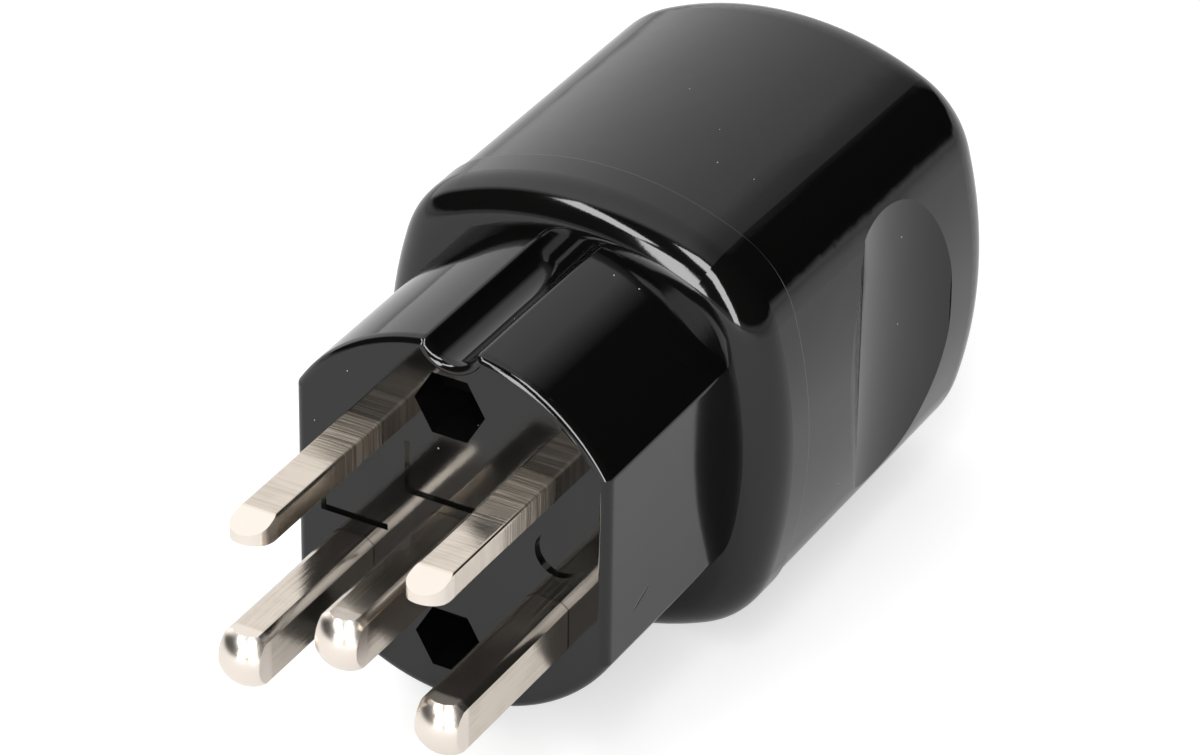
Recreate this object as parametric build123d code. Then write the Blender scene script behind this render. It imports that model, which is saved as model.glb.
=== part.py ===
from build123d import *
import os

# Frame: X across the plug, +Y from the pins into the body, +Z up, all in millimetres.
# The origin is the centre of the flat engagement face that the pins stand out of.

# Pin pattern
phase_pitch = 19.0
row_drop = 6.5
earth_rise = 5.0
upper_pitch = 16.8
upper_rise = 13.4

# Lower pins: a turned bar with its sides milled flat and a ball nose
lower_pin_reach = 19.0
lower_pin_width = 4.0
lower_pin_height = 5.0
lower_pin_radius = 2.8
ball_radius = 3.0

# Upper pins: a flat bar with a rounded and bevelled end
upper_pin_reach = 19.3
upper_pin_width = 3.5
upper_pin_height = 2.5
upper_pin_edge = 0.3
bevel_length = 3.2
bevel_drop = 0.8

# Pin shoulders, stems and terminals behind the face
shoulder_size = 6.2
shoulder_length = 4.0
terminal_size = 5.6
block_corner = 1.2
terminal_reach = 36.0
wire_bore = 3.6
wire_depth = 10.0
terminal_screw_inset = 4.5

# Nose of the front insert: a round bar cut by two flat sides
nose_radius = 17.8
nose_width = 30.4
nose_length = 20.4
nose_edge = 0.9
arris_edge = 0.5
face_thickness = 10.0
nose_wall = 2.2

# Key channel along the top of the nose
channel_depth = 1.9
channel_radius = 2.6
channel_lip = 0.5
channel_wall = 1.0

# Hexagonal nut pockets in the face
nut_flats = 5.5
nut_thickness = 2.4
pocket_flats = 5.9
pocket_depth = 13.0
screw_spacing = 23.5
tower_wall = 1.4

# Bare marking recesses in the face
recess_depth = 0.4
centre_recess = (8.8, 5.2)
centre_recess_rise = 4.5
side_recess = (6.6, 6.9)
side_recess_place = (-9.4, 0.9)
round_recess_radius = 2.2
round_recess_place = (10.4, 0.6)

# Collar: the widest part, a rounded square with bowed sides
collar_width = 39.55
collar_height = 43.2
collar_depth = 6.8
collar_front_edge = 3.6
collar_rear_edge = 0.3
collar_wall = 2.6
rim_wall = 1.4
side_bow_radius = 44.5
top_bow_radius = 29.5
corner_radius = 9.8
body_drop = 0.35

# Hood: the grip part behind the collar, drawn in a little towards the rear
hood_inset = 0.2
hood_length = 36.8
hood_side_draft = -0.3
hood_top_draft = 0.85
hood_rear_edge = 5.7
hood_inner_edge = 3.0
hood_wall = 2.4
spigot_length = 2.4

# Finger grips, one scooped into each side of the hood
grip_start = 7.7
grip_ramp = 5.4
grip_run = 13.9
grip_depth = 1.85
grip_sag = 1.1

# Carrier plate that holds the pins in and carries the cord clamp
plate_thickness = 3.0
arm_thickness = 2.2
arm_height = 6.2
arm_rise = 0.2
arm_gap = 0.45
arm_root = 11.4
arm_jog = (23.4, 27.0)
cradle_length = 6.0
cradle_start = 47.0
cord_radius = 5.0
cradle_floor = 1.7
boss_radius = 2.8
boss_place = (7.0, 0.2)

# Cord clamp bar and its screws
bar_thickness = 2.0
clamp_gap = 0.2
clamp_seat = 0.4

# Cord entry
entry_radius = 5.5
grommet_wall = 1.6
grommet_lip = 0.8
grommet_flange = 1.2

# Screws: M3.5 for the terminals, M3 for the rest
screw_radius = 1.5
head_radius = 2.75
head_height = 2.0
slot_width = 0.8
slot_depth = 1.0
terminal_screw_radius = 1.75
terminal_head_radius = 2.5
terminal_head_height = 1.5
hood_screw_length = 35.0
hood_screw_tip = 9.6
plate_screw_length = 9.0
pillar_wall = 1.1
pillar_rib = 1.6

# Fits
slide_gap = 0.1
pin_gap = 0.05
thread_gap = 0.05
spigot_gap = 0.15

# Places worked out from the sizes above
lower_z = -row_drop
earth_z = lower_z + earth_rise
upper_z = lower_z + upper_rise
screw_z = screw_spacing / 2
collar_rear = nose_length + collar_depth
hood_rear = collar_rear + hood_length
shoulder_rear = face_thickness + shoulder_length
plate_rear = shoulder_rear + slide_gap + plate_thickness
hood_front_width = collar_width - 2 * hood_inset
hood_front_height = collar_height - 2 * hood_inset
hood_rear_width = hood_front_width - hood_side_draft
hood_rear_height = hood_front_height - hood_top_draft
grip_floor = hood_front_width / 2 - grip_depth / 2 - grip_sag
arm_place = grip_floor - hood_wall - arm_gap - arm_thickness / 2
clamp_screw_place = arm_place - arm_thickness / 2 - clamp_gap - head_radius
tower_radius = pocket_flats / 3**0.5 + tower_wall
pillar_radius = screw_radius + slide_gap + pillar_wall
tunnel_radius = head_radius + slide_gap + pillar_wall
head_seat = hood_screw_tip + hood_screw_length
tower_rear = plate_rear + slide_gap
pillar_front = tower_rear + slide_gap
chamber_rear = hood_rear - hood_wall
cradle_rear = cradle_start + cradle_length

lower_pins = {"pin_l1": (-phase_pitch / 2, lower_z), "pin_n": (phase_pitch / 2, lower_z), "pin_pe": (0, earth_z)}
upper_pins = {"pin_l2": (-upper_pitch / 2, upper_z), "pin_l3": (upper_pitch / 2, upper_z)}


def along(face, start, end):
    """Draws a face, made in the X-Z plane at Y = 0, out from Y = start to Y = end."""
    return Pos(0, start, 0) * extrude(Plane.XZ * face, amount=-(end - start))


def rod(radius, start, end, x=0.0, z=0.0):
    """A round bar along Y."""
    return along(Pos(x, z) * Circle(radius), start, end)


def block(width, height, start, end, x=0.0, z=0.0):
    """A square-edged bar along Y."""
    return along(Pos(x, z) * Rectangle(width, height), start, end)


def rounded_block(size, start, end, x=0.0, z=0.0):
    """A square bar along Y with rounded corners."""
    return along(Pos(x, z) * RectangleRounded(size, size, block_corner), start, end)


def upright(radius, length, x, y, z):
    """A round bar along Z that starts at z and runs up, or down for a negative length."""
    return Pos(x, y, z + length / 2) * Cylinder(radius, abs(length))


def hexagon(flats):
    """A hexagon with a corner to each side."""
    return RegularPolygon(radius=flats / 3**0.5, side_count=6)


def bowed_square(width, height, inset=0.0):
    """A rounded square whose four sides bow outward, drawn in all round by an inset.

    It hangs a little below the axis of the nose.
    """
    side = Circle(side_bow_radius - inset)
    cap = Circle(top_bow_radius - inset)
    side_place = side_bow_radius - width / 2
    cap_place = top_bow_radius - height / 2
    lens = (Pos(-side_place, 0) * side) & (Pos(side_place, 0) * side)
    lens = lens & (Pos(0, -cap_place) * cap) & (Pos(0, cap_place) * cap)
    return Pos(0, -body_drop) * fillet(lens.vertices(), corner_radius - inset)


def nose_outline(inset=0.0):
    """The barrel outline of the nose: a circle cut by two upright flats."""
    return Circle(nose_radius - inset) & Rectangle(nose_width - 2 * inset, 3 * nose_radius)


def hood_section(y, inset):
    """The outline of the hood at a station along Y, drawn in by an inset."""
    share = (y - collar_rear) / hood_length
    width = hood_front_width + (hood_rear_width - hood_front_width) * share
    height = hood_front_height + (hood_rear_height - hood_front_height) * share
    return Plane.XZ.offset(-y) * bowed_square(width, height, inset)


def hood_solid(inset, start, end):
    """The tapered outside of the hood drawn in by an inset, between two stations along Y."""
    return loft([hood_section(start, inset), hood_section(end, inset)], ruled=True)


def grip_scoop(side, inset=0.0):
    """The cutter of one finger grip: a ramp down to a foot and a floor that dips and rises in one arc.

    An inset draws it in by a wall, for the room that the wall behind the grip takes from the chamber.
    """
    surface = hood_front_width / 2 - inset
    start = collar_rear + grip_start
    foot = (surface - grip_depth, start + grip_ramp)
    tail = (surface, foot[1] + grip_run)
    middle = ((foot[0] + tail[0]) / 2 - grip_sag, (foot[1] + tail[1]) / 2)
    outside = surface + inset + grip_depth
    ramp = Line((surface, start), foot)
    scoop = ThreePointArc(foot, middle, tail)
    edge = Polyline(tail, (outside, tail[1]), (outside, start), (surface, start))
    profile = make_face(ramp + scoop + edge)
    cutter = Pos(0, 0, -collar_height) * extrude(profile, amount=2 * collar_height)
    return cutter if side > 0 else mirror(cutter, Plane.YZ)


def screw(radius, length, screw_head_radius, screw_head_height):
    """A slotted cheese-head screw: the head sits on Z = 0 and the shank runs down from it."""
    body = Pos(0, 0, screw_head_height / 2) * Cylinder(screw_head_radius, screw_head_height)
    slot = Pos(0, 0, screw_head_height) * Box(3 * screw_head_radius, slot_width, slot_depth)
    body = body - slot
    shank = Pos(0, 0, -length / 2) * Cylinder(radius, length)
    shank = chamfer(shank.edges().sort_by(Axis.Z)[0], radius / 4)
    return body + shank


def ball_nosed_pin(x, z):
    """A lower pin: a turned bar with a ball nose, milled flat on four sides."""
    ball_y = ball_radius - lower_pin_reach
    ball = rod(ball_radius, ball_y, face_thickness) + Pos(0, ball_y, 0) * Sphere(ball_radius)
    blank = rod(lower_pin_radius, -lower_pin_reach, face_thickness)
    flats = block(lower_pin_width, lower_pin_height, -lower_pin_reach, face_thickness)
    return Pos(x, 0, z) * (blank & flats & ball)


def bevelled_pin(x, z):
    """An upper pin: a flat bar with a half-round end that is bevelled above and below."""
    bar = block(upper_pin_width, upper_pin_height, -upper_pin_reach, face_thickness)
    bar = fillet(bar.edges().filter_by(Axis.Y), upper_pin_edge)
    half = upper_pin_width / 2
    plan = Pos(0, (face_thickness - upper_pin_reach + half) / 2) * Rectangle(
        upper_pin_width, face_thickness + upper_pin_reach - half
    )
    plan = plan + Pos(0, half - upper_pin_reach) * Circle(half)
    plan_solid = Pos(0, 0, -upper_pin_height) * extrude(plan, amount=2 * upper_pin_height)
    top = upper_pin_height / 2
    tip = top - bevel_drop
    side = Polyline(
        (-upper_pin_reach, -tip),
        (-upper_pin_reach, tip),
        (bevel_length - upper_pin_reach, top),
        (face_thickness, top),
        (face_thickness, -top),
        (bevel_length - upper_pin_reach, -top),
        (-upper_pin_reach, -tip),
    )
    side_solid = extrude(Plane.YZ * make_face(side), amount=half, both=True)
    return Pos(x, 0, z) * (bar & plan_solid & side_solid)


def terminal_direction(name):
    """Which way the terminal screw of a pin faces: up for the upper pins, down for the rest."""
    return 1 if name in upper_pins else -1


def terminal(name, x, z):
    """The shoulder that locks a pin in and the terminal block with its wire bore and screw hole."""
    body = rounded_block(shoulder_size, face_thickness, shoulder_rear, x, z)
    body = body + rounded_block(terminal_size, shoulder_rear, terminal_reach, x, z)
    body = body - rod(wire_bore / 2, terminal_reach - wire_depth, terminal_reach + 1, x, z)
    up = terminal_direction(name)
    screw_y = terminal_reach - terminal_screw_inset
    hole = upright(terminal_screw_radius + thread_gap, up * terminal_size, x, screw_y, z)
    return body - hole


def terminal_screw(name, x, z):
    """The screw that clamps the wire in a pin's terminal block."""
    up = terminal_direction(name)
    length = terminal_size / 2
    fastener = screw(terminal_screw_radius, length, terminal_head_radius, terminal_head_height)
    turned = fastener if up > 0 else Rot(180, 0, 0) * fastener
    return Pos(x, terminal_reach - terminal_screw_inset, z + up * terminal_size / 2) * turned


def pin_sections():
    """The holes in the face that the pins pass through."""
    lower = (Circle(lower_pin_radius + pin_gap)) & Rectangle(
        lower_pin_width + 2 * pin_gap, lower_pin_height + 2 * pin_gap
    )
    upper = RectangleRounded(
        upper_pin_width + 2 * pin_gap, upper_pin_height + 2 * pin_gap, upper_pin_edge + pin_gap
    )
    places = [Pos(x, z) * lower for x, z in lower_pins.values()]
    places += [Pos(x, z) * upper for x, z in upper_pins.values()]
    return places


def channel(wall=0.0):
    """The round section of the key channel, grown by a wall."""
    return Pos(0, nose_radius - channel_depth + channel_radius) * Circle(channel_radius + wall)


def nose():
    """The nose with its rounded edges and the key channel along its top."""
    outline = nose_outline() - channel()
    lips = outline.vertices().group_by(Axis.Y)[-1]
    outline = fillet(lips, channel_lip)
    corners = [v for v in outline.vertices() if abs(abs(v.X) - nose_width / 2) < 0.01]
    outline = fillet(corners, arris_edge)
    body = along(outline, 0, nose_length + collar_front_edge)
    front = body.faces().sort_by(Axis.Y)[0]
    return fillet(front.edges(), nose_edge)


def collar():
    """The collar with its broad rounded front edge."""
    body = along(bowed_square(collar_width, collar_height), nose_length, collar_rear)
    front = body.faces().sort_by(Axis.Y)[0]
    body = fillet(front.edges(), collar_front_edge)
    rear = body.faces().sort_by(Axis.Y)[-1]
    return fillet(rear.edges(), collar_rear_edge)


def insert_core():
    """The hollow of the insert, open to the rear: the nose, the collar and the seat of the hood's spigot."""
    hollow = bowed_square(collar_width, collar_height, hood_inset + hood_wall)
    seat = bowed_square(collar_width, collar_height, rim_wall)
    core = along(nose_outline(nose_wall) - channel(channel_wall), face_thickness, collar_rear + 1)
    core = core + along(hollow, nose_length + collar_wall, collar_rear + 1)
    return core + along(seat, collar_rear - spigot_length - slide_gap, collar_rear + 1)


def insert_towers():
    """The two nut towers and the bosses of the plate screws inside the nose."""
    towers = [rod(tower_radius, face_thickness, tower_rear, 0, up * screw_z) for up in (-1, 1)]
    room = along(nose_outline(nose_wall / 2) - channel(channel_wall / 2), face_thickness, tower_rear)
    bosses = [
        rod(boss_radius, face_thickness, shoulder_rear, across * boss_place[0], boss_place[1])
        for across in (-1, 1)
    ]
    return [tower & room for tower in towers] + bosses


def front_insert():
    """The moulding that makes the nose and the collar."""
    body = nose() + collar() - insert_core()
    for tower in insert_towers():
        body = body + tower
    for hole in pin_sections():
        body = body - along(hole, -1, face_thickness + 1)
    for up in (-1, 1):
        pocket = Pos(0, up * screw_z) * hexagon(pocket_flats)
        body = body - along(pocket, -1, pocket_depth)
        body = body - rod(screw_radius + slide_gap, pocket_depth - 1, tower_rear + 1, 0, up * screw_z)
    for across in (-1, 1):
        body = body - rod(
            screw_radius + thread_gap,
            plate_rear - plate_screw_length,
            shoulder_rear + 1,
            across * boss_place[0],
            boss_place[1],
        )
    return body - marking_recesses()


def marking_recesses():
    """The bare shallow recesses of the face."""
    centre = block(*centre_recess, -1, recess_depth, 0, centre_recess_rise)
    side = block(*side_recess, -1, recess_depth, *side_recess_place)
    disc = rod(round_recess_radius, -1, recess_depth, *round_recess_place)
    return centre + side + disc


def hood():
    """The grip shell with its spigot, screw pillars, finger grips and cord entry."""
    shell = hood_solid(0, collar_rear, hood_rear)
    rear = shell.faces().sort_by(Axis.Y)[-1]
    shell = fillet(rear.edges(), hood_rear_edge)
    chamber = hood_solid(hood_wall, collar_rear, chamber_rear)
    inner_rear = chamber.faces().sort_by(Axis.Y)[-1]
    chamber = fillet(inner_rear.edges(), hood_inner_edge)
    for side in (-1, 1):
        shell = shell - grip_scoop(side)
        chamber = chamber - grip_scoop(side, hood_wall)
    shell = shell - chamber + spigot()
    for up in (-1, 1):
        shell = shell + pillar(up)
    for up in (-1, 1):
        shell = shell - rod(screw_radius + slide_gap, pillar_front - 1, head_seat + 1, 0, up * screw_z)
        shell = shell - rod(head_radius + slide_gap, head_seat, hood_rear + 1, 0, up * screw_z)
    return shell - rod(entry_radius + grommet_wall, chamber_rear - 1, hood_rear + 1)


def spigot():
    """The lip that enters the collar."""
    outer = bowed_square(collar_width, collar_height, rim_wall + spigot_gap)
    inner = bowed_square(hood_front_width, hood_front_height, hood_wall)
    return along(outer - inner, collar_rear - spigot_length, collar_rear)


def pillar(up):
    """A hollow screw pillar with the rib that ties it to the hood's wall."""
    body = rod(pillar_radius, pillar_front, chamber_rear, 0, up * screw_z)
    body = body + rod(tunnel_radius, head_seat - 2 * pillar_wall, chamber_rear + 1, 0, up * screw_z)
    reach = (hood_rear_height / 2 - hood_wall / 2) - screw_z
    rib_rear = chamber_rear - hood_inner_edge
    rib = block(pillar_rib, reach, collar_rear, rib_rear, 0, up * (screw_z + reach / 2))
    return body + rib


def clamp_carrier():
    """The inner moulding: a plate over the pin shoulders, two arms and a cradle for the cord."""
    front = shoulder_rear + slide_gap
    plate = along(nose_outline(nose_wall + slide_gap), front, plate_rear)
    for up in (-1, 1):
        plate = plate - rod(tower_radius + slide_gap, front - 1, plate_rear + 1, 0, up * screw_z)
        top = up * (screw_z + nose_radius / 2)
        plate = plate - block(2 * tower_radius, nose_radius, front - 1, plate_rear + 1, 0, top)
    window = terminal_size + 2 * slide_gap
    for x, z in list(lower_pins.values()) + list(upper_pins.values()):
        plate = plate - rounded_block(window, front - 1, plate_rear + 1, x, z)
    for across in (-1, 1):
        x = across * boss_place[0]
        plate = plate - rod(screw_radius + slide_gap, front - 1, plate_rear + 1, x, boss_place[1])
        plate = plate + clamp_arm(across)
    return plate + cradle()


def clamp_arm(across):
    """One arm that runs back from the plate, steps outward behind the nose and carries the cradle."""
    start, end = arm_jog
    root = block(arm_thickness, arm_height, plate_rear - plate_thickness, end, across * arm_root, arm_rise)
    width = arm_place - arm_root + arm_thickness
    middle = (arm_place + arm_root) / 2
    step = block(width, arm_height, start, end, across * middle, arm_rise)
    rail = block(arm_thickness, arm_height, start, cradle_rear, across * arm_place, arm_rise)
    return root + step + rail


def cradle():
    """The lower half of the cord clamp: a block between the arms with a trough for the cord."""
    height = cord_radius + cradle_floor
    width = 2 * arm_place + arm_thickness
    body = block(width, height, cradle_start, cradle_rear, 0, -height / 2)
    body = body - rod(cord_radius, cradle_start - 1, cradle_rear + 1)
    middle = (cradle_start + cradle_rear) / 2
    for across in (-1, 1):
        body = body - upright(screw_radius + thread_gap, -height, across * clamp_screw_place, middle, 0)
    return body


def clamp_bar():
    """The upper half of the cord clamp: a flat bar with an arched middle."""
    width = 2 * (arm_place - arm_thickness / 2 - slide_gap)
    seat = clamp_seat
    bar = block(width, bar_thickness, cradle_start, cradle_rear, 0, seat + bar_thickness / 2)
    arch = rod(cord_radius + bar_thickness, cradle_start, cradle_rear)
    arch = arch & block(width, width, cradle_start, cradle_rear, 0, seat + width / 2)
    bar = bar + arch - rod(cord_radius, cradle_start - 1, cradle_rear + 1)
    middle = (cradle_start + cradle_rear) / 2
    for across in (-1, 1):
        x = across * clamp_screw_place
        bar = bar - upright(screw_radius + slide_gap, 2 * bar_thickness, x, middle, 0)
        bar = bar - upright(head_radius + slide_gap, cord_radius, x, middle, seat + bar_thickness)
    return bar


def clamp_screw(across):
    """A screw that pulls the clamp bar down on the cradle."""
    length = bar_thickness + clamp_seat + cord_radius
    top = clamp_seat + bar_thickness
    middle = (cradle_start + cradle_rear) / 2
    return Pos(across * clamp_screw_place, middle, top) * screw(screw_radius, length, head_radius, head_height)


def plate_screw(across):
    """A screw that holds the carrier plate on the bosses of the insert."""
    fastener = Rot(-90, 0, 0) * screw(screw_radius, plate_screw_length, head_radius, head_height)
    return Pos(across * boss_place[0], plate_rear, boss_place[1]) * fastener


def hood_screw(up):
    """A long screw that draws the hood on to the insert."""
    fastener = Rot(-90, 0, 0) * screw(screw_radius, hood_screw_length, head_radius, head_height)
    return Pos(0, head_seat, up * screw_z) * fastener


def hex_nut(up):
    """A nut at the bottom of its pocket."""
    body = along(Pos(0, up * screw_z) * hexagon(nut_flats), pocket_depth - nut_thickness, pocket_depth)
    return body - rod(screw_radius + thread_gap, 0, pocket_depth + 1, 0, up * screw_z)


def grommet():
    """The soft bush in the cord entry, with a lip outside and a flange inside."""
    neck = entry_radius + grommet_wall - slide_gap
    body = rod(neck, chamber_rear - grommet_flange, hood_rear)
    body = body + rod(neck + grommet_lip, chamber_rear - grommet_flange, chamber_rear)
    return body - rod(entry_radius, chamber_rear - grommet_flange - 1, hood_rear + 1)


def pieces():
    """Every piece by its name."""
    made = {"front_insert": front_insert(), "hood": hood(), "clamp_carrier": clamp_carrier()}
    for name, (x, z) in lower_pins.items():
        made[name] = ball_nosed_pin(x, z) + terminal(name, x, z)
    for name, (x, z) in upper_pins.items():
        made[name] = bevelled_pin(x, z) + terminal(name, x, z)
    for name, (x, z) in list(lower_pins.items()) + list(upper_pins.items()):
        made[name.replace("pin", "terminal_screw")] = terminal_screw(name, x, z)
    for label, up in (("upper", 1), ("lower", -1)):
        made[f"{label}_nut"] = hex_nut(up)
        made[f"{label}_hood_screw"] = hood_screw(up)
    for label, across in (("left", -1), ("right", 1)):
        made[f"{label}_plate_screw"] = plate_screw(across)
        made[f"{label}_clamp_screw"] = clamp_screw(across)
    made["clamp_bar"] = clamp_bar()
    made["grommet"] = grommet()
    return made


os.makedirs("parts", exist_ok=True)
for name, solid in pieces().items():
    export_step(solid, f"parts/{name}.step")
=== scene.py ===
import math

import bpy
from bpy.props import FloatProperty, FloatVectorProperty, PointerProperty
from mathutils import Matrix, Quaternion, Vector


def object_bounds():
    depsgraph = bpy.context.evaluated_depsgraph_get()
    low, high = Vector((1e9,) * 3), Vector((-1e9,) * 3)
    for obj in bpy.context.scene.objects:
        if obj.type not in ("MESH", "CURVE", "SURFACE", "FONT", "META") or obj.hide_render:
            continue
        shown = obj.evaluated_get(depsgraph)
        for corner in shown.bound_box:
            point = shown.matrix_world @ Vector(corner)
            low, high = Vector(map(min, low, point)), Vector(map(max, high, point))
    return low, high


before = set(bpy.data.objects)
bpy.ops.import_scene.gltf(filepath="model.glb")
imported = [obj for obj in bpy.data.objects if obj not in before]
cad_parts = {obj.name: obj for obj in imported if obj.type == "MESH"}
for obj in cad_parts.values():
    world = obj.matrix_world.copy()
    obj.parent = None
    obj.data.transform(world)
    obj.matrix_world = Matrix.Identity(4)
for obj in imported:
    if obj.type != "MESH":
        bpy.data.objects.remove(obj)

bl_info = {
    "name": "Three-phase plug",
    "version": (1, 0, 0),
    "blender": (4, 5, 0),
    "location": "View3D > Sidebar > Plug",
    "description": "Finishes the pieces of a black five-pin plug and lights it on a pale floor",
    "category": "Object",
}

CAD_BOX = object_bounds()

MOULDED_NODES = ("front_insert", "hood")
INNER_NODES = ("clamp_carrier", "clamp_bar")
LOWER_PIN_NODES = ("pin_l1", "pin_n", "pin_pe")
UPPER_PIN_NODES = ("pin_l2", "pin_l3")
SCREW_NODES = (
    "terminal_screw_l1",
    "terminal_screw_n",
    "terminal_screw_pe",
    "terminal_screw_l2",
    "terminal_screw_l3",
    "upper_hood_screw",
    "lower_hood_screw",
    "left_plate_screw",
    "right_plate_screw",
    "left_clamp_screw",
    "right_clamp_screw",
)
NUT_NODES = ("upper_nut", "lower_nut")
BUSH_NODES = ("grommet",)

# Ranges of a mask, and of most of a cloud
FULL = (0.0, 1.0)
MOST_OF_CLOUD = (0.3, 0.7)

# How the milling lines are stretched along X, Y and Z: lengthways on the lower pins,
# crossways on the upper ones
LENGTHWAYS = (1.0, 0.03, 1.0)
CROSSWAYS = (0.03, 1.0, 0.03)

# How worn the roots of the lower and the upper pins are, and how much painted shade darkens them next
# to the face, from 0 to 1
LOWER_ROOT_WEAR_AND_SHADE = 0.12
UPPER_ROOT_WEAR_AND_SHADE = 1.0


def colour_value(name, description, default):
    """A colour that a user can change."""
    return FloatVectorProperty(
        name=name, description=description, subtype="COLOR", min=0.0, max=1.0, default=default
    )


def share_value(name, description, default):
    """A number from 0 to 1 that a user can change."""
    return FloatProperty(
        name=name, description=description, subtype="FACTOR", min=0.0, max=1.0, default=default
    )


def strength_value(name, description, default):
    """A strength of light that a user can change."""
    return FloatProperty(name=name, description=description, min=0.0, default=default)


def length_value(name, description, default):
    """A length in metres that a user can change."""
    return FloatProperty(name=name, description=description, unit="LENGTH", min=0.0, default=default)


def place_value(name, description, default):
    """A place in the plug's frame, in metres, that a user can change."""
    return FloatVectorProperty(
        name=name, description=description, subtype="XYZ", unit="LENGTH", default=default
    )


def angle_value(name, description, degrees):
    """An angle that a user can change, with its default in degrees."""
    return FloatProperty(
        name=name, description=description, subtype="ANGLE", default=math.radians(degrees)
    )


class PlugMouldingSettings(bpy.types.PropertyGroup):
    """The glossy black moulding of the nose, the collar and the hood."""

    colour: colour_value("Colour", "Colour of the black moulding", (0.0028, 0.0028, 0.0027))
    dust_colour: colour_value("Dust colour", "Colour of the fine dust specks", (0.5, 0.49, 0.47))
    smooth: share_value("Lowest roughness", "Roughness where the moulding is glossiest", 0.055)
    dull: share_value("Highest roughness", "Roughness where handling has dulled the moulding", 0.1)
    dust_dulling: share_value("Dust dulling", "How much rougher a dust speck is than the rest", 0.5)
    patch: length_value("Patch size", "Size of the patches that handling has dulled", 0.014)
    ripple: length_value(
        "Ripple size", "Size of the faint ripples where the wall cooled unevenly", 0.009
    )
    ripple_depth: length_value("Ripple depth", "Depth of the faint ripples", 0.00004)
    grain: length_value("Grain size", "Size of the fine grain that the mould leaves", 0.0004)
    grain_depth: length_value("Grain depth", "Depth of the fine grain", 0.0000015)
    dust_spacing: length_value(
        "Dust spacing", "Size of the cells that hold one dust speck at most", 0.0011
    )
    dust_height: length_value("Dust height", "How far a dust speck stands out", 0.00002)
    scratch_place: place_value(
        "Scratch place", "Middle of the scratch on the right of the nose", (0.0152, 0.00576, -0.00542)
    )
    scratch_lean: angle_value("Scratch lean", "How far the scratch rises towards the collar", 23)
    scratch_length: length_value("Scratch length", "Length of the scratch", 0.0034)
    scratch_width: length_value("Scratch width", "Width of the scratch", 0.0003)
    scratch_depth: length_value("Scratch depth", "Depth of the scratch", 0.0001)


class PlugPinSettings(bpy.types.PropertyGroup):
    """The nickel-plated pins."""

    colour: colour_value("Colour", "Colour of the nickel plating", (0.75, 0.67, 0.58))
    # The tarnish colour also paints shade on the pin roots next to the face
    tarnish_and_shade_colour: colour_value(
        "Tarnish colour", "Colour of the plating where it has dulled", (0.36, 0.31, 0.25)
    )
    tip_colour: colour_value("Tip colour", "Colour of the bright tips", (0.88, 0.8, 0.72))
    smooth: share_value("Lowest roughness", "Roughness of the brightest plating", 0.12)
    dull: share_value("Highest roughness", "Roughness of the dullest plating", 0.17)
    tip_dulling: share_value("Tip dulling", "How much rougher the tips are than the rest", 0.11)
    root_dulling: share_value("Root dulling", "How much rougher the most worn roots are", 0.29)
    patch: length_value("Patch size", "Size of the duller patches of the plating", 0.004)
    mill_step: length_value("Milling step", "Spacing of the milling lines on a pin", 0.0003)
    mill_depth: length_value("Milling depth", "Depth of the milling lines on a pin", 0.00002)
    pit: length_value("Pit size", "Size of the fine pits of the plating", 0.0006)
    pit_depth: length_value("Pit depth", "Depth of the fine pits", 0.000003)
    # This reach also bounds the painted shade on the roots
    root_reach: length_value(
        "Worn root reach", "How far from the face the worn part of the roots reaches", 0.0095
    )
    milled_reach: length_value(
        "Milled reach", "How far from the face the milling lines reach, before the tip", 0.0161
    )
    milled_fade: length_value("Milled fade", "Over what length the milling lines end", 0.0004)


class PlugInnerSettings(bpy.types.PropertyGroup):
    """The screws and nuts, the inner mouldings and the bush of the cord entry."""

    steel_dull_colour: colour_value(
        "Dull steel colour", "Colour of the dullest zinc plating", (0.52, 0.52, 0.5)
    )
    steel_colour: colour_value(
        "Steel colour", "Colour of the brightest zinc plating", (0.68, 0.67, 0.63)
    )
    moulding_colour: colour_value(
        "Inner moulding colour", "Colour of the matt inner mouldings", (0.009, 0.009, 0.009)
    )
    moulding_worn_colour: colour_value(
        "Worn moulding colour", "Colour of the inner mouldings where worn", (0.015, 0.015, 0.014)
    )
    rubber_colour: colour_value("Rubber colour", "Colour of the soft bush", (0.01, 0.01, 0.01))
    rubber_bloom_colour: colour_value(
        "Rubber bloom colour", "Colour of the dusty bloom on the bush", (0.024, 0.023, 0.022)
    )


class PlugStageSettings(bpy.types.PropertyGroup):
    """The floor, the light and the camera."""

    camera_place: place_value(
        "Camera place", "Where the camera stands", (0.2144, -0.35883, 0.27939)
    )
    camera_target: place_value(
        "Camera target", "The point that the camera looks at", (0.00086, 0.0239, 0.00196)
    )
    camera_roll: angle_value("Camera roll", "How far the camera leans over to its left", 0.81)
    focal_length: FloatProperty(
        name="Focal length",
        description="Focal length on a frame 36 mm wide",
        unit="CAMERA",
        min=1.0,
        default=180.0,
    )
    floor_colour: colour_value("Floor colour", "Colour of the floor", (0.54, 0.54, 0.54))
    floor_half: length_value("Floor half side", "Half the side of the square floor", 4.0)
    floor_seen: strength_value("Floor glow seen", "Light that the camera sees added to the floor", 0.6)
    floor_mirrored: strength_value(
        "Floor glow mirrored", "Light that gloss mirrors added to the floor", 0.27
    )
    sweep_dim: strength_value("Sweep, dim side", "Light of the white sweep at its dim side", 0.49)
    sweep_bright: strength_value(
        "Sweep, bright side", "Light of the white sweep at its bright side", 2.19
    )
    dark_side: strength_value("Dark sides", "Light of the surround beside the sweep", 0.01)
    horizon: strength_value("Horizon", "Light of the surround just over the floor", 0.75)
    lamp_distance: length_value("Lamp distance", "How far the lamps stand from the plug", 0.9)
    lamp_brightness: strength_value("Lamp brightness", "Brightness of the lamps as mirrored", 11.5)


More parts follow.
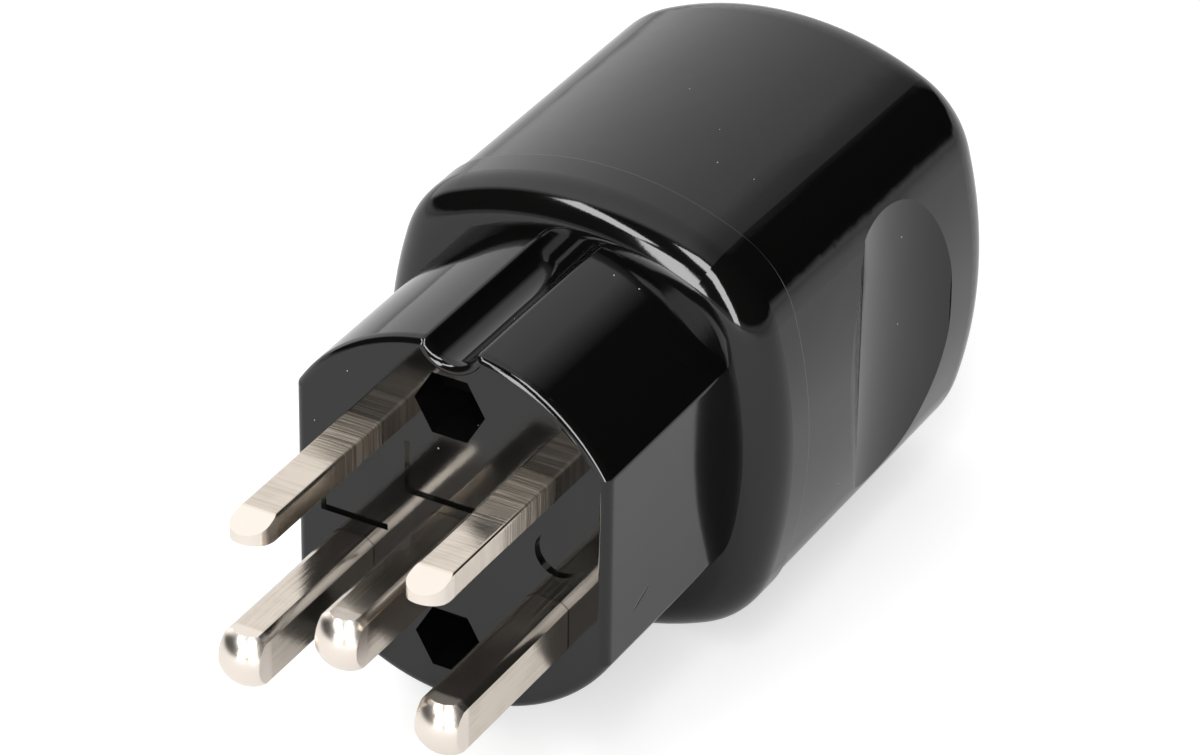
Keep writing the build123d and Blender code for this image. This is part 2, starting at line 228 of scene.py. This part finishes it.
def math_node(tree, operation, first, second=None, clamp=False):
    """One step of arithmetic between two sockets or numbers."""
    node = tree.nodes.new("ShaderNodeMath")
    node.operation = operation
    node.use_clamp = clamp
    for index, value in enumerate((first, second)):
        if value is None:
            continue
        if isinstance(value, bpy.types.NodeSocket):
            tree.links.new(value, node.inputs[index])
        else:
            node.inputs[index].default_value = value
    return node.outputs[0]


def spread(tree, value, source, target):
    """Maps a value from one range to another, kept inside the second."""
    node = tree.nodes.new("ShaderNodeMapRange")
    tree.links.new(value, node.inputs["Value"])
    node.inputs["From Min"].default_value = source[0]
    node.inputs["From Max"].default_value = source[1]
    node.inputs["To Min"].default_value = target[0]
    node.inputs["To Max"].default_value = target[1]
    return node.outputs["Result"]


def blend_colour(tree, share, first, second):
    """Mixes two colours by a share."""
    node = tree.nodes.new("ShaderNodeMix")
    node.data_type = "RGBA"
    tree.links.new(share, node.inputs[0])
    for socket, value in ((node.inputs[6], first), (node.inputs[7], second)):
        if isinstance(value, bpy.types.NodeSocket):
            tree.links.new(value, socket)
        else:
            socket.default_value = (*value, 1.0)
    return node.outputs[2]


def split_axes(tree, place):
    """The X, Y and Z sockets of a place or a direction."""
    node = tree.nodes.new("ShaderNodeSeparateXYZ")
    tree.links.new(place, node.inputs[0])
    return node.outputs


def noise(tree, place, size, detail=2.0, stretch=(1.0, 1.0, 1.0)):
    """A cloud of a given size in metres, stretched along the axes if asked."""
    scaled = tree.nodes.new("ShaderNodeMapping")
    scaled.inputs["Scale"].default_value = stretch
    tree.links.new(place, scaled.inputs["Vector"])
    node = tree.nodes.new("ShaderNodeTexNoise")
    node.inputs["Scale"].default_value = 1.0 / size
    node.inputs["Detail"].default_value = detail
    tree.links.new(scaled.outputs[0], node.inputs["Vector"])
    return node.outputs["Fac"]


def bump(tree, height, depth, before=None):
    """Raises the surface by a height, whose full range is a depth in metres."""
    node = tree.nodes.new("ShaderNodeBump")
    node.inputs["Strength"].default_value = 1.0
    node.inputs["Distance"].default_value = depth
    tree.links.new(height, node.inputs["Height"])
    if before is not None:
        tree.links.new(before, node.inputs["Normal"])
    return node.outputs["Normal"]


def new_finish(name):
    """A fresh material with its shader and the object's own coordinates."""
    finish = bpy.data.materials.new(name)
    finish.use_nodes = True
    tree = finish.node_tree
    tree.nodes.clear()
    shader = tree.nodes.new("ShaderNodeBsdfPrincipled")
    output = tree.nodes.new("ShaderNodeOutputMaterial")
    tree.links.new(shader.outputs[0], output.inputs["Surface"])
    place = tree.nodes.new("ShaderNodeTexCoord").outputs["Object"]
    return finish, tree, shader, place


def dust_mask(tree, place, spacing):
    """Small round specks, in the tenth of the cells with the highest random value."""
    empty_below = 0.9
    largest_reach = 0.095
    soft_rim = 0.012
    cells = tree.nodes.new("ShaderNodeTexVoronoi")
    cells.inputs["Scale"].default_value = 1.0 / spacing
    tree.links.new(place, cells.inputs["Vector"])
    pick = tree.nodes.new("ShaderNodeSeparateColor")
    tree.links.new(cells.outputs["Color"], pick.inputs[0])
    reach = spread(tree, pick.outputs[0], (empty_below, 1.0), (0.0, largest_reach))
    inside = math_node(tree, "SUBTRACT", reach, cells.outputs["Distance"])
    return spread(tree, inside, (0.0, soft_rim), FULL)


def scratch_mask(tree, place, settings):
    """A thin scratch on the right side of the nose, leaning up towards the collar."""
    edge = 1.0
    full_depth = 0.4
    width = settings.scratch_width
    inside = tree.nodes.new("ShaderNodeMapping")
    inside.vector_type = "TEXTURE"
    inside.inputs["Location"].default_value = settings.scratch_place
    inside.inputs["Rotation"].default_value = (settings.scratch_lean, 0.0, 0.0)
    inside.inputs["Scale"].default_value = (width, settings.scratch_length / 2, width / 2)
    tree.links.new(place, inside.inputs["Vector"])
    reach = tree.nodes.new("ShaderNodeVectorMath")
    reach.operation = "LENGTH"
    tree.links.new(inside.outputs[0], reach.inputs[0])
    return spread(tree, reach.outputs["Value"], (edge, full_depth), FULL)


def moulding_finish(settings):
    """Glossy black moulding with faint ripples, fine grain, worn patches, dust and a scratch."""
    finish, tree, shader, place = new_finish("black_moulding")
    rubbed_range = (0.35, 0.7)
    patches = noise(tree, place, settings.patch, detail=3.0)
    rubbed = spread(tree, patches, rubbed_range, (settings.smooth, settings.dull))
    dust = dust_mask(tree, place, settings.dust_spacing)
    dusty = math_node(tree, "MULTIPLY", dust, settings.dust_dulling)
    rough = math_node(tree, "ADD", rubbed, dusty, clamp=True)
    tree.links.new(rough, shader.inputs["Roughness"])
    colour = blend_colour(tree, dust, settings.colour, settings.dust_colour)
    tree.links.new(colour, shader.inputs["Base Color"])
    ripples = bump(tree, noise(tree, place, settings.ripple, detail=1.0), settings.ripple_depth)
    grain = bump(tree, noise(tree, place, settings.grain), settings.grain_depth, ripples)
    specks = bump(tree, dust, settings.dust_height, grain)
    scratched = bump(tree, scratch_mask(tree, place, settings), -settings.scratch_depth, specks)
    tree.links.new(scratched, shader.inputs["Normal"])
    shader.inputs["IOR"].default_value = 1.5
    return finish


def pin_colour(tree, settings, masks, patches, coarse):
    """Plating with duller streaks, a bright tip, and dark lines on the worn roots that are partly
    tarnish and partly painted shade next to the face.
    """
    milled, worn_shaded_root = masks
    most_streaked = 0.3
    streak_range = (0.2, 0.36)
    root_line_range = (0.4, 0.58)
    least_tarnish_at_root = 0.15
    streaked = math_node(tree, "MULTIPLY", patches, coarse)
    streaks = spread(tree, streaked, streak_range, (0.0, most_streaked))
    # Painted shade: the roots next to the face are darkened in lines towards the tarnish colour, on
    # top of real tarnish
    root_lines = spread(tree, coarse, root_line_range, (least_tarnish_at_root, 1.0))
    tarnished_shaded_root = math_node(tree, "MULTIPLY", worn_shaded_root, root_lines)
    dulled = math_node(tree, "MAXIMUM", streaks, tarnished_shaded_root)
    plating = blend_colour(tree, dulled, settings.colour, settings.tarnish_and_shade_colour)
    return blend_colour(tree, milled, settings.tip_colour, plating)


def pin_roughness(tree, settings, masks, patches):
    """Smooth plating that is rougher in patches, at the tip and most at the worn roots."""
    milled, worn_shaded_root = masks
    worn = spread(tree, patches, MOST_OF_CLOUD, (settings.smooth, settings.dull))
    tip = spread(tree, milled, FULL, (settings.tip_dulling, 0.0))
    root = math_node(tree, "MULTIPLY", worn_shaded_root, settings.root_dulling)
    return math_node(tree, "ADD", worn, math_node(tree, "ADD", tip, root))


def pin_relief(tree, settings, masks, fine, coarse, place):
    """Milling lines that end before the tip and deepen at the worn roots, with fine pits."""
    milled, worn_shaded_root = masks
    fresh_depth = 0.4
    worn_depth = 3.0
    depth = math_node(
        tree, "MULTIPLY", milled, spread(tree, worn_shaded_root, FULL, (fresh_depth, worn_depth))
    )
    broad = bump(tree, math_node(tree, "MULTIPLY", coarse, depth), settings.mill_depth)
    lines = bump(tree, math_node(tree, "MULTIPLY", fine, depth), settings.mill_depth / 3, broad)
    return bump(tree, noise(tree, place, settings.pit, detail=3.0), settings.pit_depth, lines)


def plated_pin_finish(settings, name, stretch, root_wear_and_shade):
    """Nickel plating over milled brass, with lines one way, a tip without lines, and worn roots
    darkened by painted shade next to the face.
    """
    finish, tree, shader, place = new_finish(name)
    along = split_axes(tree, place)["Y"]
    milled_end = -settings.milled_reach
    milled = spread(tree, along, (milled_end - settings.milled_fade, milled_end), FULL)
    # The root mask carries both wear and painted shade
    root = spread(tree, along, (-settings.root_reach, -settings.root_reach / 2), FULL)
    masks = (milled, math_node(tree, "MULTIPLY", root, root_wear_and_shade))
    patches = noise(tree, place, settings.patch, detail=4.0)
    fine = noise(tree, place, settings.mill_step / 3, detail=2.0, stretch=stretch)
    coarse = noise(tree, place, settings.mill_step, detail=3.0, stretch=stretch)
    colour = pin_colour(tree, settings, masks, patches, coarse)
    tree.links.new(colour, shader.inputs["Base Color"])
    rough = pin_roughness(tree, settings, masks, patches)
    tree.links.new(rough, shader.inputs["Roughness"])
    relief = pin_relief(tree, settings, masks, fine, coarse, place)
    tree.links.new(relief, shader.inputs["Normal"])
    shader.inputs["Metallic"].default_value = 0.985
    return finish


def patchy_finish(name, colours, roughness, patch, grain, grain_depth, detail=3.0, metallic=0.0):
    """A plain finish with soft patches between two colours and a fine grain."""
    finish, tree, shader, place = new_finish(name)
    patches = noise(tree, place, patch, detail)
    tree.links.new(blend_colour(tree, patches, *colours), shader.inputs["Base Color"])
    tree.links.new(spread(tree, patches, MOST_OF_CLOUD, roughness), shader.inputs["Roughness"])
    relief = bump(tree, noise(tree, place, grain, detail - 1.0), grain_depth)
    tree.links.new(relief, shader.inputs["Normal"])
    shader.inputs["Metallic"].default_value = metallic
    return finish


def plated_steel_finish(settings):
    """Zinc-plated steel with a fine turned grain."""
    return patchy_finish(
        "plated_steel",
        colours=(settings.steel_dull_colour, settings.steel_colour),
        roughness=(0.26, 0.42),
        patch=0.002,
        grain=0.0003,
        grain_depth=0.000004,
        metallic=1.0,
    )


def inner_moulding_finish(settings):
    """Matt black moulding with a fine grain."""
    return patchy_finish(
        "inner_moulding",
        colours=(settings.moulding_colour, settings.moulding_worn_colour),
        roughness=(0.42, 0.58),
        patch=0.006,
        grain=0.0003,
        grain_depth=0.000006,
    )


def rubber_finish(settings):
    """Soft black rubber with a dusty bloom."""
    return patchy_finish(
        "bush_rubber",
        colours=(settings.rubber_colour, settings.rubber_bloom_colour),
        roughness=(0.55, 0.8),
        patch=0.003,
        grain=0.0005,
        grain_depth=0.00001,
        detail=4.0,
    )


def put_finish(nodes, finish):
    """Gives every slot of the named pieces one finish."""
    for name in nodes:
        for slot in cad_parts[name].material_slots:
            slot.material = finish


class PLUG_OT_mouldings(bpy.types.Operator):
    """Finishes the nose, the collar and the hood"""

    bl_idname = "plug.mouldings"
    bl_label = "Black mouldings"

    def execute(self, context):
        put_finish(MOULDED_NODES, moulding_finish(context.scene.plug_moulding))
        return {"FINISHED"}


class PLUG_OT_pins(bpy.types.Operator):
    """Finishes the five pins"""

    bl_idname = "plug.pins"
    bl_label = "Pins"

    def execute(self, context):
        settings = context.scene.plug_pins
        lower = plated_pin_finish(settings, "lower_pin", LENGTHWAYS, LOWER_ROOT_WEAR_AND_SHADE)
        put_finish(LOWER_PIN_NODES, lower)
        upper = plated_pin_finish(settings, "upper_pin", CROSSWAYS, UPPER_ROOT_WEAR_AND_SHADE)
        put_finish(UPPER_PIN_NODES, upper)
        return {"FINISHED"}


class PLUG_OT_fasteners(bpy.types.Operator):
    """Finishes the screws and the nuts"""

    bl_idname = "plug.fasteners"
    bl_label = "Screws and nuts"

    def execute(self, context):
        put_finish(SCREW_NODES + NUT_NODES, plated_steel_finish(context.scene.plug_inner))
        return {"FINISHED"}


class PLUG_OT_inner_mouldings(bpy.types.Operator):
    """Finishes the carrier plate and the cord clamp"""

    bl_idname = "plug.inner_mouldings"
    bl_label = "Inner mouldings"

    def execute(self, context):
        put_finish(INNER_NODES, inner_moulding_finish(context.scene.plug_inner))
        return {"FINISHED"}


class PLUG_OT_bush(bpy.types.Operator):
    """Finishes the rubber bush of the cord entry"""

    bl_idname = "plug.bush"
    bl_label = "Cord entry bush"

    def execute(self, context):
        put_finish(BUSH_NODES, rubber_finish(context.scene.plug_inner))
        return {"FINISHED"}


def seen_rays(tree, camera_strength, gloss_strength):
    """A strength that only camera rays and rays off gloss or through glass get."""
    path = tree.nodes.new("ShaderNodeLightPath")
    gloss = math_node(
        tree, "MAXIMUM", path.outputs["Is Glossy Ray"], path.outputs["Is Transmission Ray"]
    )
    straight = math_node(tree, "MULTIPLY", path.outputs["Is Camera Ray"], camera_strength)
    return math_node(tree, "ADD", straight, math_node(tree, "MULTIPLY", gloss, gloss_strength))


def floor_finish(settings):
    """A pale floor that keeps a soft shadow and shows white to the camera and in gloss."""
    finish = bpy.data.materials.new("floor")
    finish.use_nodes = True
    tree = finish.node_tree
    tree.nodes.clear()
    output = tree.nodes.new("ShaderNodeOutputMaterial")
    matt = tree.nodes.new("ShaderNodeBsdfDiffuse")
    matt.inputs["Color"].default_value = (*settings.floor_colour, 1.0)
    glow = tree.nodes.new("ShaderNodeEmission")
    seen = seen_rays(tree, settings.floor_seen, settings.floor_mirrored)
    tree.links.new(seen, glow.inputs["Strength"])
    both = tree.nodes.new("ShaderNodeAddShader")
    tree.links.new(matt.outputs[0], both.inputs[0])
    tree.links.new(glow.outputs[0], both.inputs[1])
    tree.links.new(both.outputs[0], output.inputs["Surface"])
    return finish


def direction(azimuth, elevation):
    """A unit vector: azimuth 0 is along +Y and 90 along +X, in degrees."""
    across = math.radians(azimuth)
    up = math.radians(elevation)
    return Vector((math.sin(across) * math.cos(up), math.cos(across) * math.cos(up), math.sin(up)))


def along_way(tree, way, aim):
    """How far a direction points along a fixed one: 1 for the same way, -1 for the opposite."""
    node = tree.nodes.new("ShaderNodeVectorMath")
    node.operation = "DOT_PRODUCT"
    tree.links.new(way, node.inputs[0])
    node.inputs[1].default_value = aim
    return node.outputs["Value"]


def edge_mask(tree, way, first, second, soft):
    """1 on one side of the great circle through two directions, 0 on the other."""
    across = along_way(tree, way, first.cross(second).normalized())
    return spread(tree, across, (-soft, soft), FULL)


def white_sweep(tree, way, settings):
    """A white sweep behind the plug and to its left, between three soft edges."""
    brightest_way = direction(228, 0)
    right = edge_mask(tree, way, direction(44, 70), direction(5, 30), soft=0.12)
    front = edge_mask(tree, way, direction(-90, 25), direction(-135, 58), soft=0.08)
    overhead = edge_mask(tree, way, direction(-135, 59), direction(180, 72), soft=0.08)
    sweep = math_node(tree, "MULTIPLY", math_node(tree, "MULTIPLY", right, front), overhead)
    towards = along_way(tree, way, brightest_way)
    slope = spread(tree, towards, (-1.0, 1.0), (settings.sweep_dim, settings.sweep_bright))
    return math_node(tree, "MULTIPLY", sweep, slope)


def horizon_light(tree, way, settings):
    """Pale light just over the floor, dark above it."""
    dark_from = math.sin(math.radians(6))
    bright_from = math.sin(math.radians(2))
    height = split_axes(tree, way)["Z"]
    return spread(tree, height, (dark_from, bright_from), (settings.dark_side, settings.horizon))


def studio_world(settings):
    """A white surround for the camera, and a white sweep with dark sides for gloss and light."""
    world = bpy.data.worlds.new("studio")
    bpy.context.scene.world = world
    world.use_nodes = True
    tree = world.node_tree
    tree.nodes.clear()
    output = tree.nodes.new("ShaderNodeOutputWorld")
    way = tree.nodes.new("ShaderNodeTexCoord").outputs["Generated"]
    sweep = white_sweep(tree, way, settings)
    light = math_node(tree, "MAXIMUM", sweep, horizon_light(tree, way, settings))
    camera = tree.nodes.new("ShaderNodeLightPath").outputs["Is Camera Ray"]
    rest = math_node(tree, "SUBTRACT", 1.0, camera)
    strength = math_node(tree, "ADD", camera, math_node(tree, "MULTIPLY", rest, light))
    background = tree.nodes.new("ShaderNodeBackground")
    tree.links.new(strength, background.inputs["Strength"])
    tree.links.new(background.outputs[0], output.inputs["Surface"])


def softbox(settings, name, first, last, width):
    """A long lamp that looks at the plug, from one direction to another as seen from there."""
    distance = settings.lamp_distance
    length = 2 * distance * math.tan(first.angle(last) / 2)
    data = bpy.data.lights.new(name, "AREA")
    data.shape = "RECTANGLE"
    data.size = width
    data.size_y = length
    data.energy = settings.lamp_brightness * math.pi * length * width
    lamp = bpy.data.objects.new(name, data)
    bpy.context.scene.collection.objects.link(lamp)
    away = (first + last).normalized()
    side = last.cross(away).normalized()
    lamp.rotation_euler = Matrix((side, away.cross(side), away)).transposed().to_euler()
    lamp.location = (CAD_BOX[0] + CAD_BOX[1]) / 2 + away * distance


def make_floor(settings):
    """A large square floor that touches the underside of the plug."""
    half = settings.floor_half
    level = CAD_BOX[0].z
    mesh = bpy.data.meshes.new("floor")
    corners = [(-half, -half, level), (half, -half, level), (half, half, level), (-half, half, level)]
    mesh.from_pydata(corners, [], [(0, 1, 2, 3)])
    mesh.materials.append(floor_finish(settings))
    floor = bpy.data.objects.new("floor", mesh)
    bpy.context.scene.collection.objects.link(floor)


def make_camera(settings):
    """The camera at the photograph's viewing angle."""
    data = bpy.data.cameras.new("camera")
    data.lens = settings.focal_length
    data.sensor_width = 36.0
    data.clip_start = 0.01
    data.clip_end = 20.0
    camera = bpy.data.objects.new("camera", data)
    bpy.context.scene.collection.objects.link(camera)
    place = Vector(settings.camera_place)
    look = Vector(settings.camera_target) - place
    level = look.to_track_quat("-Z", "Y")
    camera.rotation_mode = "QUATERNION"
    camera.location = place
    camera.rotation_quaternion = level @ Quaternion((0.0, 0.0, 1.0), settings.camera_roll)
    bpy.context.scene.camera = camera


class PLUG_OT_stage(bpy.types.Operator):
    """Makes the floor, the surround, the lamps and the camera"""

    bl_idname = "plug.stage"
    bl_label = "Stage"

    def execute(self, context):
        settings = context.scene.plug_stage
        make_floor(settings)
        studio_world(settings)
        softbox(settings, "left_softbox", direction(185, 3), direction(185, 33), width=0.2)
        softbox(settings, "top_left_softbox", direction(189, 37), direction(231, 52), width=0.15)
        softbox(settings, "right_softbox", direction(148, 1), direction(157, 67), width=0.19)
        make_camera(settings)
        return {"FINISHED"}


class PLUG_PT_panel(bpy.types.Panel):
    """Lists the pieces and their settings"""

    bl_idname = "PLUG_PT_panel"
    bl_label = "Three-phase plug"
    bl_space_type = "VIEW_3D"
    bl_region_type = "UI"
    bl_category = "Plug"

    def draw(self, context):
        for group_name in SETTINGS:
            group = getattr(context.scene, group_name)
            box = self.layout.box()
            for name in group.__annotations__:
                box.prop(group, name)
        for operator in OPERATORS:
            self.layout.operator(operator.bl_idname)


SETTINGS = {
    "plug_moulding": PlugMouldingSettings,
    "plug_pins": PlugPinSettings,
    "plug_inner": PlugInnerSettings,
    "plug_stage": PlugStageSettings,
}
OPERATORS = (
    PLUG_OT_mouldings,
    PLUG_OT_pins,
    PLUG_OT_fasteners,
    PLUG_OT_inner_mouldings,
    PLUG_OT_bush,
    PLUG_OT_stage,
)
CLASSES = (*SETTINGS.values(), *OPERATORS, PLUG_PT_panel)


def register():
    for item in CLASSES:
        bpy.utils.register_class(item)
    for name, group in SETTINGS.items():
        setattr(bpy.types.Scene, name, PointerProperty(type=group))


def unregister():
    for name in SETTINGS:
        delattr(bpy.types.Scene, name)
    for item in reversed(CLASSES):
        bpy.utils.unregister_class(item)


def main():
    register()
    scene = bpy.context.scene
    scene.view_settings.view_transform = "Standard"
    bpy.ops.plug.mouldings()
    bpy.ops.plug.pins()
    bpy.ops.plug.fasteners()
    bpy.ops.plug.inner_mouldings()
    bpy.ops.plug.bush()
    bpy.ops.plug.stage()


if __name__ == "__main__":
    main()
